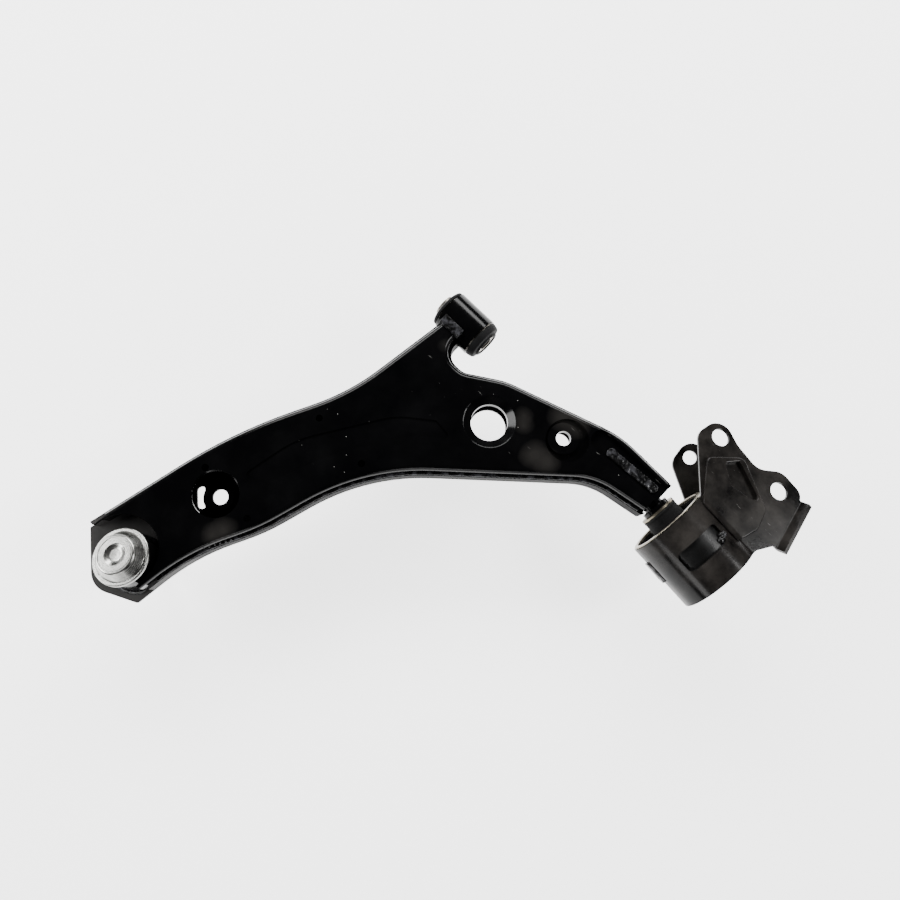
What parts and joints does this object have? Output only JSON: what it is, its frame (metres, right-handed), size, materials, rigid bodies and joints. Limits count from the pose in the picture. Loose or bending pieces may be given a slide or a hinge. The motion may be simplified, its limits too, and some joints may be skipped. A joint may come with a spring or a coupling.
{
  "type": "front lower control arm",
  "caption": "Stamped steel L-shaped front lower control arm with ball joint, front bush and bracketed rear bush.",
  "frame": {"origin": "on the front bush's axis, near the middle of the bush", "axes": "+X forward along the front bush's axis, +Y outboard towards the ball joint, +Z towards the side that carries the ball joint's closing cap; the threaded stud leaves towards -Z"},
  "size_m": [0.438, 0.4817, 0.1214],
  "materials": {
    "gloss_black_paint": "gloss",
    "satin_black_coat": "satin",
    "dark_rubber": "matte",
    "zinc_plate": "satin",
    "bare_steel": "satin",
    "spring_steel": "satin",
    "bearing_plastic": "matte"
  },
  "bodies": {
    "arm": {"lower_arm_shell": "gloss_black_paint", "upper_arm_shell": "gloss_black_paint", "trailing_seam_weld": "gloss_black_paint", "leading_seam_weld": "gloss_black_paint", "rear_leg_seam_weld": "gloss_black_paint", "rear_pin_plug_weld": "gloss_black_paint", "front_bush_tube": "gloss_black_paint", "front_bush_outer_sleeve": "bare_steel", "front_bush_rubber": "dark_rubber", "front_bush_weld_upper": "gloss_black_paint", "front_bush_weld_lower": "gloss_black_paint", "ball_joint_cap": "zinc_plate", "ball_joint_housing": "bare_steel", "ball_joint_liner": "bearing_plastic", "ball_joint_preload_ring": "bare_steel", "ball_joint_collar": "gloss_black_paint", "ball_joint_retaining_ring": "bare_steel", "ball_joint_collar_weld": "gloss_black_paint", "boot_clip_at_housing": "spring_steel", "rear_pin": "gloss_black_paint", "rear_bush_front_washer": "bare_steel", "rear_bush_inner_sleeve": "bare_steel", "rear_pin_nut": "bare_steel", "rear_pin_nut_washer": "bare_steel", "rear_bush_inner_rubber": "dark_rubber"},
    "front_sleeve": {"front_bush_inner_sleeve": "bare_steel"},
    "bracket": {"rear_bush_main_rubber": "dark_rubber", "rear_bush_outer_sleeve": "bare_steel", "rear_bracket_upper": "satin_black_coat", "rear_bracket_lower": "satin_black_coat", "bracket_seam_weld": "satin_black_coat"},
    "boot": {"ball_joint_dust_boot": "dark_rubber"},
    "boot_ring": {"boot_clip_at_stud": "spring_steel"},
    "stud": {"ball_stud": "bare_steel"}
  },
  "joints": [
    {"name": "front_bush_twist", "type": "hinge", "parent": "arm", "child": "front_sleeve", "pos_m": [0, 0, 0], "axis": [1, 0, 0], "range_deg": [-20, 20], "stiffness_Nm_per_rad": 40},
    {"name": "rear_bush_twist", "type": "hinge", "parent": "arm", "child": "bracket", "pos_m": [-0.286, 0.0061, 0], "axis": [0.9976, -0.0698, 0], "range_deg": [-20, 20], "stiffness_Nm_per_rad": 60},
    {"name": "ball_joint_side_swing", "type": "hinge", "parent": "arm", "child": "boot", "pos_m": [0.0489, 0.3503, -0.00044], "axis": [1, 0, 0], "range_deg": [-13, 13], "deforming": ["ball_joint_dust_boot"]},
    {"name": "ball_joint_fore_aft_swing", "type": "hinge", "parent": "boot", "child": "boot_ring", "pos_m": [0.0489, 0.3503, -0.00044], "axis": [0, 1, 0], "range_deg": [-2, 24], "deforming": ["ball_joint_dust_boot"]},
    {"name": "ball_joint_stud_spin", "type": "hinge", "parent": "boot_ring", "child": "stud", "pos_m": [0.0489, 0.3503, -0.00044], "axis": [0.0523, 0, 0.9986], "continuous": true}
  ]
}
